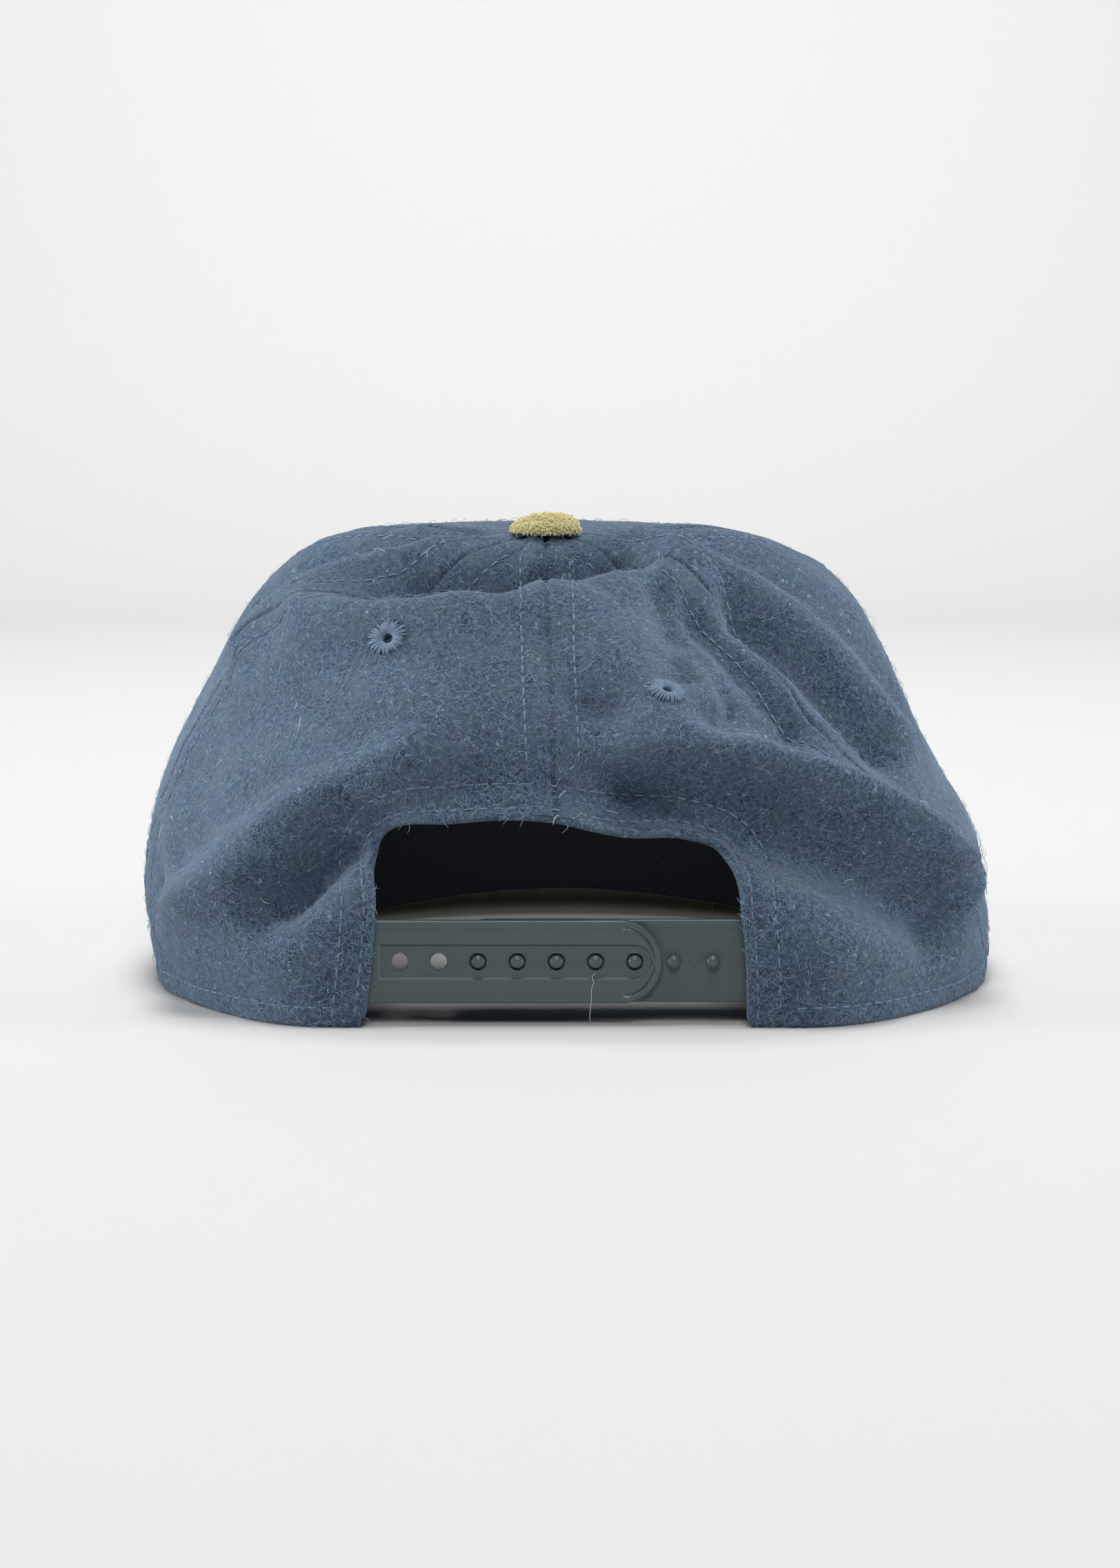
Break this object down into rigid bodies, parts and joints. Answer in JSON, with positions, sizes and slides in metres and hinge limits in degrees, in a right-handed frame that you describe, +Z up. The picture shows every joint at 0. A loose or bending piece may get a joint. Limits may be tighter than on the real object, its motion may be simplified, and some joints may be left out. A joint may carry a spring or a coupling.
{
  "type": "snapback cap",
  "caption": "Panelled snapback cap with a flat visor, covered top button, inner sweatband and a snap strap closure under a rear arch.",
  "frame": {"origin": "middle of the foot of the whole cap's box, on the surface that the hem rests on", "axes": "+Z up, +Y to the rear where the straps are, +X to the wearer's left, so the visor points to -Y"},
  "size_m": [0.2026, 0.2472, 0.1118],
  "materials": {
    "navy_wool": "heather navy wool with a fine twill and loose fibres",
    "mustard_felt": "mustard felt with a short nap",
    "sweatband_twill": "smooth dark twill band",
    "snap_plastic": "satin grey-green moulded plastic"
  },
  "bodies": {
    "root": {"front_panel_left": "navy_wool", "front_panel_right": "navy_wool", "side_panel_left": "navy_wool", "side_panel_right": "navy_wool", "rear_panel_left": "navy_wool", "rear_panel_right": "navy_wool", "sweatband": "sweatband_twill", "top_button": "mustard_felt", "visor": "mustard_felt", "strap_hole_side": "snap_plastic", "strap_peg_side": "snap_plastic"}
  },
  "joints": []
}
